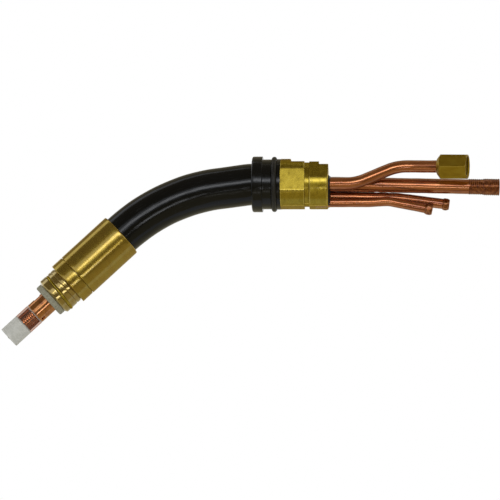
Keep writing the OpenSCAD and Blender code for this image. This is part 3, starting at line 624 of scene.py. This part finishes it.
def holderShape(radius, along, angle):
    notched = (along > holder["notch"][0]) & (along < holder["notch"][1]) & (radius > holder["outside"])
    radius = np.where(notched, softMin(radius, flatAt(angle, 0, holder["notchFlat"])), radius)
    for turn in (math.radians(holder["holeTurn"]), math.radians(holder["holeTurn"] + 180)):
        aside = (angle - turn + math.pi) % (2 * math.pi) - math.pi
        gap = np.hypot(along - holder["hole"], aside * holder["radius"])
        depth = np.clip((holder["holeRadius"] - gap) / holder["holeEase"] + 0.5, 0, 1)
        radius = np.where(radius > holder["outside"], radius - holder["holeDepth"] * depth, radius)
    onThread = (along > holder["front"]) & (radius > holder["threadFrom"])
    return np.where(onThread, radius - threadDepth(along, angle, holder["thread"]), radius), along


def holderStep(point):
    # fine rows only outside, where the gas holes and the thread need them
    outside = point[0] > holder["fineFrom"][0] and point[1] > holder["fineFrom"][1]
    return holder["fine"] if outside else holder["coarse"]


notchSides = [(edge + side * holder["seam"], holder["radius"], 0.02)
              for edge in holder["notch"] for side in (-1, 1)]
outline = rounded([(holder["rear"], holder["bore"]), (holder["rear"], holder["shank"]),
                   (holder["shoulder"], holder["shank"]), (holder["shoulder"], holder["radius"]), *notchSides,
                   (holder["front"], holder["radius"], 0.25), (holder["front"], holder["threadRadius"], 0.1),
                   (holder["threadEnd"], holder["threadRadius"], 0.6),
                   (holder["threadEnd"], holder["socket"]), (holder["socketFloor"], holder["socket"]),
                   (holder["socketFloor"], holder["bore"])], 0.12)
fit("tipHolder", skin("tipHolder", dense(outline, holderStep), frontPath, 180, holderShape, edges=True),
    turnedCopper, "torch", "copper_holder", "tip_holder")

# push-on cap, closed at its front, with fine rings from its mould and the stub of its sprue
cap = {"rear": 65.58, "length": 19.5, "radius": 6.2, "bore": 5.08, "floor": 18.3, "outside": 5.9,
       "ringPitch": 1.25, "ringDepth": 0.02, "ringMargin": 0.6, "sprue": (0.7, 0.6), "sprueEnd": 19.9}


def capShape(radius, along, angle):
    ringed = ((along > cap["ringMargin"]) & (along < cap["length"] - cap["ringMargin"])
              & (radius > cap["outside"]))
    ridge = cap["ringDepth"] * (np.cos(2 * math.pi * along / cap["ringPitch"]) - 1)
    return np.where(ringed, radius + ridge, radius), along


outline = rounded([(0, cap["bore"], 0.1), (0, cap["radius"], 0.25), (cap["length"], cap["radius"], 0.3),
                   (cap["length"], cap["sprue"][0], 0.2), (cap["sprueEnd"], cap["sprue"][1], 0.2)])
outline += [(cap["sprueEnd"], 0), (cap["floor"], 0), (cap["floor"], cap["bore"])]
fit("threadCap",
    skin("threadCap", dense(outline, 0.24), straightPath(front @ shift(z=cap["rear"])), 96, capShape),
    capVinyl, "cap", "cap_white", "thread_cap")
print("front end ready")

# neck sleeve over its whole bend, a little uneven as pulled rubber is
neck = {"radius": 11.7, "bore": 9.7, "start": 2, "legs": [(4.4, 30, 8, 0), layout["longBend"], (5, 0, 0, 0)],
        "uneven": 0.035, "waves": (5.1, 2.3, 8.7)}


def neckShape(radius, along, angle):
    first, second, third = (along / length for length in neck["waves"])
    wave = np.sin(first + 2 * np.sin(angle)) + np.sin(second + 3 * angle) * 0.5 + np.sin(third - angle)
    return np.where(radius > neck["bore"] + 1, radius + neck["uneven"] * wave, radius), along


length = routeLength(neck["legs"])
outline = dense([(0, neck["bore"]), (0, neck["radius"]), (length, neck["radius"]),
                 (length, neck["bore"])], 1.2)
fit("neckSleeve",
    skin("neckSleeve", outline, routePath(facingFront(neck["start"]), neck["legs"]), 144, neckShape),
    neckRubber, "torch", "neck_black", "neck_sleeve")

# collar: flange, barrel, seal groove and lip
collar = {"bore": 8.4, "sleeveBore": 11.75, "flange": 15.7, "flangeHalf": 3, "barrel": 14.05,
          "seal": (7.9, 11), "sealFloor": 12.5, "lip": 14.25}
sealFront, sealRear = collar["seal"]
outline = rounded([(-collar["flangeHalf"], collar["sleeveBore"], 0.3),
                   (-collar["flangeHalf"], collar["flange"], 1.3),
                   (collar["flangeHalf"], collar["flange"], 0.4),
                   (collar["flangeHalf"], collar["barrel"], 0.2),
                   (sealFront, collar["barrel"], 0.15), (sealFront, collar["sealFloor"]),
                   (sealRear, collar["sealFloor"]), (sealRear, collar["lip"], 0.2),
                   (layout["blockFront"], collar["lip"], 0.1), (layout["blockFront"], collar["bore"]),
                   (neck["start"], collar["bore"]), (neck["start"], collar["sleeveBore"])], 0.15, 5)
fit("collarBody", skin("collarBody", dense(outline, 1.5), rearPath, 144),
    collarNylon, "torch", "collar_black", "collar")

# rear block: turned bar with milled flats, so each flat is a limit on the bar's radius
block = {"radius": 14.35, "groove": 12.75, "bore": 4.2, "outside": 9, "topFlat": 11.2, "rampFoot": 19.3,
         "rampSlope": 4, "step": 34.6, "stepFlat": 9.5, "seam": 0.02, "sideFlat": 12.85, "bottomFlat": 13.4,
         "score": 0.6, "scoreWidth": 0.42, "scoreRange": (13.6, 39), "scoreRun": 3}


def blockShape(radius, along, angle):
    limited = radius
    for turn in (90, 270):
        flat = softMin(limited, flatAt(angle, turn, block["sideFlat"]))
        limited = np.where(along <= layout["grooveFront"], flat, limited)
    flat = softMin(limited, flatAt(angle, 60, block["sideFlat"]))
    limited = np.where(along >= layout["rearBody"], flat, limited)
    limited = softMin(limited, flatAt(angle, 180, block["bottomFlat"]))
    top = block["topFlat"] + np.maximum(block["rampFoot"] - along, 0) * block["rampSlope"]
    top = np.where(along > block["step"], block["stepFlat"], top)
    limited = softMin(limited, flatAt(angle, 0, top))
    # the cutter scored a line along both edges of the bottom flat
    start, end = block["scoreRange"]
    run = (np.clip((along - start) * block["scoreRun"], 0, 1)
           * np.clip((end - along) * block["scoreRun"], 0, 1))
    for side in (-1, 1):
        edge = math.pi + side * math.acos(block["bottomFlat"] / block["radius"])
        gap = (angle - edge) * block["radius"] / block["scoreWidth"]
        limited = limited - block["score"] * np.exp(-gap ** 2) * run
    return np.where(radius > block["outside"], limited, radius), along


outline = rounded([(layout["blockFront"], block["bore"]), (layout["blockFront"], block["radius"], 0.35),
                   (layout["grooveFront"], block["radius"], 0.35),
                   (layout["grooveFront"], block["groove"], 0.2),
                   (layout["rearBody"], block["groove"], 0.2), (layout["rearBody"], block["radius"], 0.6),
                   (block["step"] - block["seam"], block["radius"], 0.01),
                   (block["step"] + block["seam"], block["radius"], 0.01),
                   (layout["blockRear"], block["radius"], 1.2),
                   (layout["blockRear"], block["bore"])], 0.15, 4)
fit("rearBlock", skin("rearBlock", dense(outline, 0.3), rearPath, 360, blockShape, edges=True),
    milledBrass, "torch", "brass_block", "rear_block")

# the rear tubes: place in the block as y and z, legs, dents as (along, turn, depth, size)
power = {"at": (-7.85, -1.5), "radius": 3.45, "bore": 2.45,
         "legs": [(layout["socket"] + 10, 26, 23, 0), (14.3, 26, 23, 180), (1, 26, 13, 106.5),
                  (16.5, 0, 0, 0)],
         "dents": [(26, 200, 0.12, 2), (52, 90, 0.08, 3)]}
gas = {"at": (3.3, -6.35), "radius": 2.92, "bore": 1.8,
       "legs": [(layout["socket"] + 2.6, 60, 1.4, 180), (33, 30, 6.3, 180), (27, 0, 0, 0)],
       "dents": [(40, 150, 0.1, 2)]}
water = {"at": (-1.4, -10.85), "radius": 2.66, "bore": 1.8,
         "legs": [(layout["socket"] + 21.6, 25, 3, 0), (8.6, 18, 14.3, 180), (22, 0, 0, 0)],
         "dents": [(38, 120, 0.1, 2)]}

# potting on the rear face, a thin skin that sags and creeps up where the tubes stand in it
plug = {"radius": 12.4, "rim": 11, "bore": 4.2, "core": 4.3, "top": 2.4, "rear": 40.35, "face": 40.2,
        "lumps": 0.3, "sag": 0.9, "creep": 0.8, "creepReach": 0.9, "pitted": 0.12, "highest": 1.1,
        "tubes": [(power["at"], 3.45), (gas["at"], 2.6), (water["at"], 2.6)]}


def plugShape(radius, along, angle):
    lump = 0.5 * np.sin(3 * angle + 1) + 0.35 * np.sin(7 * angle + 2.2) + 0.25 * np.sin(11 * angle)
    spread = plug["lumps"] * lump - plug["sag"] * np.minimum(np.cos(angle), 0)
    limited = softMin(radius + spread * (radius > plug["rim"]), flatAt(angle, 0, plug["top"]), 0.3)
    limited = np.where(radius > plug["core"], limited, radius)
    up, side = limited * np.cos(angle), limited * np.sin(angle)
    near = 0
    for (y, z), tubeRadius in plug["tubes"]:
        near = near + np.exp(-((np.hypot(up - z, side + y) - tubeRadius) / plug["creepReach"]) ** 2)
    rise = plug["creep"] * np.clip(near, 0, 1) * (0.65 + 0.35 * np.sin(2.3 * up + 1.7 * side))
    rise = rise + plug["pitted"] * np.sin(limited * 3.1 - 6 * angle)
    return limited, np.where(along > plug["face"], along + np.clip(rise, 0, plug["highest"]), along)


outline = rounded([(layout["blockRear"], plug["bore"]), (layout["blockRear"], plug["radius"]),
                   (plug["rear"], plug["radius"], 0.3), (plug["rear"], plug["bore"])], 0.1, 4)
fit("rearPlug", skin("rearPlug", dense(outline, 0.3), rearPath, 240, plugShape),
    pottingResin, "torch", "collar_black", "rear_plug")
print("collar and block ready")


# tubes at the rear
def tube(name, start, form, node, around=64):
    # a drawn tube with a faint wave and its dents, all on its outer wall
    length, wallFrom = routeLength(form["legs"]), form["bore"] + 0.2

    def tubeShape(rings, along, angle):
        wave = 0.02 * np.sin(along / 2.7 + angle) + 0.015 * np.sin(along / 1.2 + 2 * angle + 1)
        shaped = rings + np.where(rings > wallFrom, wave, 0)
        for place, turn, depth, size in form["dents"]:
            aside = ((angle - math.radians(turn) + math.pi) % (2 * math.pi) - math.pi) * form["radius"]
            dent = depth * np.exp(-((along - place) ** 2 + aside ** 2) / size ** 2)
            shaped = shaped - np.where(rings > wallFrom, dent, 0)
        return shaped, along

    outline = rounded([(0, form["bore"]), (0, form["radius"]), (length, form["radius"]),
                       (length, form["bore"])])
    mesh = skin(name, dense(outline, 0.9), routePath(start, form["legs"]), around, tubeShape)
    fit(name, mesh, drawnCopper, "torch", "copper_tube", node)


def tubeStart(form):
    return facingRear(layout["blockRear"] - layout["socket"], form["at"])


def tubeEnd(form):
    return routePath(tubeStart(form), form["legs"])(routeLength(form["legs"]))


tube("powerTube", tubeStart(power), power, "power_tube")
tube("gasTube", tubeStart(gas), gas, "gas_tube")
tube("waterTube", tubeStart(water), water, "water_tube")

# wire conduit, routed from its rear end: a slight droop behind the block, then the neck's own bends
conduit = {"radius": 4.17, "bore": 2.6, "behind": 76, "droop": 1.2, "droopRadius": 40, "kink": 44.4,
           "dents": [(57.5, 5, 0.34, 0.9), (54.2, -8, 0.42, 1.1), (50.6, 3, 0.32, 0.8), (47.6, -4, 0.4, 1),
                     (44, 6, 0.25, 1.2), (40.5, 0, 0.32, 0.8), (30, 60, 0.1, 1.5), (52, 75, 0.1, 1.6)]}
conduit["legs"] = [(conduit["behind"], conduit["droopRadius"], conduit["droop"], 0),
                   (conduit["kink"] + 2.4, 30, 8, 0), layout["longBend"], (13, 0, 0, 0)]
droop = math.radians(conduit["droop"])
runBack = conduit["behind"] * math.cos(droop) + conduit["droopRadius"] * math.sin(droop)
runDown = conduit["behind"] * math.sin(droop) + conduit["droopRadius"] * (1 - math.cos(droop))
conduitEnd = shift(conduit["kink"] + runBack, 0, -runDown) @ spin(conduit["droop"] - 90, "Y") @ spin(180, "Z")
tube("wireConduit", conduitEnd, conduit, "wire_conduit", 72)

# threaded end of the conduit: plain front half, flared rear half, a fine thread on both
threadEnd = {"front": 3, "rear": -14, "flare": -5.5, "flareRun": 0.8, "radius": 4.7, "neck": 4.4, "bore": 2.6,
             "socket": 4.15, "outside": 4.2,
             "thread": {"range": (-13.8, 3), "pitch": 1.15, "depth": 0.22, "run": 0.6}}


def endShape(radius, along, angle):
    cut = threadDepth(along, angle, threadEnd["thread"])
    return np.where(radius > threadEnd["outside"], radius - cut, radius), along


outline = rounded([(threadEnd["rear"], threadEnd["bore"]), (threadEnd["rear"], threadEnd["radius"], 0.35),
                   (threadEnd["flare"], threadEnd["radius"], 0.5),
                   (threadEnd["flare"] + threadEnd["flareRun"], threadEnd["neck"], 0.4),
                   (threadEnd["front"], threadEnd["neck"], 0.1), (threadEnd["front"], threadEnd["socket"]),
                   (0, threadEnd["socket"]), (0, threadEnd["bore"])], 0.2, 4)
fit("conduitThread", skin("conduitThread", dense(outline, 0.12), straightPath(conduitEnd), 96, endShape),
    workedCopper, "torch", "copper_tube", "conduit_thread_end")

# swaged barbs: a ridge with the flats that the tool left, over the tube's end at 0
barbForm = {"ridge": [(-3.8, 2.62), (-3.3, 2.95, 0.4), (-2.2, 3.5, 0.4), (-0.9, 3.5, 0.4), (0.6, 2.75, 0.3),
                      (0.6, 1.8)],
            "inside": [(0.2, 1.8), (0.2, 2.62)], "flats": 7, "flat": 3.28, "uneven": 6, "outside": 2.7}


def barb(name, end, node, turn):
    def barbShape(radius, along, angle):
        limited = radius
        for k in range(barbForm["flats"]):
            flatTurn = turn + k * 360 / barbForm["flats"] + barbForm["uneven"] * (k % 3)
            limited = softMin(limited, flatAt(angle, flatTurn, barbForm["flat"]), 0.05)
        return np.where(radius > barbForm["outside"], limited, radius), along

    outline = rounded(barbForm["ridge"], 0.2, 4) + barbForm["inside"]
    fit(name, skin(name, dense(outline, 0.25), straightPath(end), 96, barbShape, edges=True),
        workedCopper, "torch", "copper_tube", node)


barb("gasBarb", tubeEnd(gas), "gas_barb", 12)
barb("waterBarb", tubeEnd(water), "water_barb", 40)

# union nut: hexagon under a turned outline, with its inner thread
nut = {"flats": 13.4, "length": 17, "turn": 44.4, "before": 5.9, "hole": 3.53, "collar": 4, "bore": 5.2,
       "rearFace": 4.45, "rearCone": 2.9, "blank": 0.4, "frontCone": 0.9, "frontFace": 6.75, "mouth": 6.4,
       "mouthCone": 0.5, "threadFrom": 8.7, "threadRadius": 5.95, "inside": (5.5, 6.1),
       "thread": {"range": (8.7, 16.6), "pitch": 1.0, "depth": 0.5, "run": 0.8}}


def nutShape(radius, along, angle):
    low, high = nut["inside"]
    limited = radius
    for k in range(6):
        flat = softMin(limited, flatAt(angle, nut["turn"] + 30 + 60 * k, nut["flats"] / 2), 0.06)
        limited = np.where(radius > high, flat, limited)
    threaded = (radius > low) & (radius < high) & (along > nut["threadFrom"])
    return np.where(threaded, radius - threadDepth(along, angle, nut["thread"]), limited), along


corner = nut["flats"] / 2 / math.cos(math.pi / 6) + nut["blank"]
outline = rounded([(0, nut["hole"]), (0, nut["rearFace"], 0.2), (nut["rearCone"], corner, 0.1),
                   (nut["length"] - nut["frontCone"], corner, 0.1), (nut["length"], nut["frontFace"], 0.25),
                   (nut["length"], nut["mouth"], 0.1),
                   (nut["length"] - nut["mouthCone"], nut["threadRadius"], 0.05),
                   (nut["threadFrom"], nut["threadRadius"], 0.05), (nut["threadFrom"], nut["bore"]),
                   (nut["collar"], nut["bore"]), (nut["collar"], nut["hole"])], 0.12, 4)
nutPath = straightPath(tubeEnd(power) @ shift(z=-nut["before"]))
fit("unionNut", skin("unionNut", dense(outline, 0.14), nutPath, 288, nutShape, edges=True),
    dullBrass, "nut", "brass_nut", "union_nut")
print("rear tubes ready")

# spring ring: an open ring of round wire that sits a little low in its groove
spring = {"wire": 0.85, "radius": 10.73, "start": 100, "gap": 20, "low": 0.35, "ease": 0.1, "steps": 90}
ringPlace = front @ shift(z=seat["ring"]) @ spin(seat["tilt"], "Y") @ shift(-spring["low"])
ringLength = spring["radius"] * math.radians(360 - spring["gap"])


def ringPath(s):
    turned = Matrix.Rotation(math.radians(spring["start"]) + s / spring["radius"], 4, "Z")
    return ringPlace @ turned @ shift(spring["radius"]) @ spin(-90, "X")


stride = (ringLength - 2 * spring["ease"]) / spring["steps"]
outline = [(0, 0), (0, spring["wire"] - spring["ease"])]
outline += [(spring["ease"] + stride * k, spring["wire"]) for k in range(spring["steps"] + 1)]
outline += [(ringLength, spring["wire"] - spring["ease"]), (ringLength, 0)]
fit("springRing", skin("springRing", outline, ringPath, 24, closed=False),
    milledBrass, "torch", "brass_nut", "seat_spring_ring")

# solids that keep their CAD form
keptNodes = {
    "jacket_core": turnedBrass, "jacket_seals": sealRubber, "neck_tube": milledBrass,
    "water_feed_line": drawnCopper, "water_return_line": drawnCopper, "collar_o_ring": sealRubber,
    "power_nipple": dullBrass,
}
for node, material in keptNodes.items():
    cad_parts[node].data.materials.clear()
    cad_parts[node].data.materials.append(material)
print("inner pieces ready")
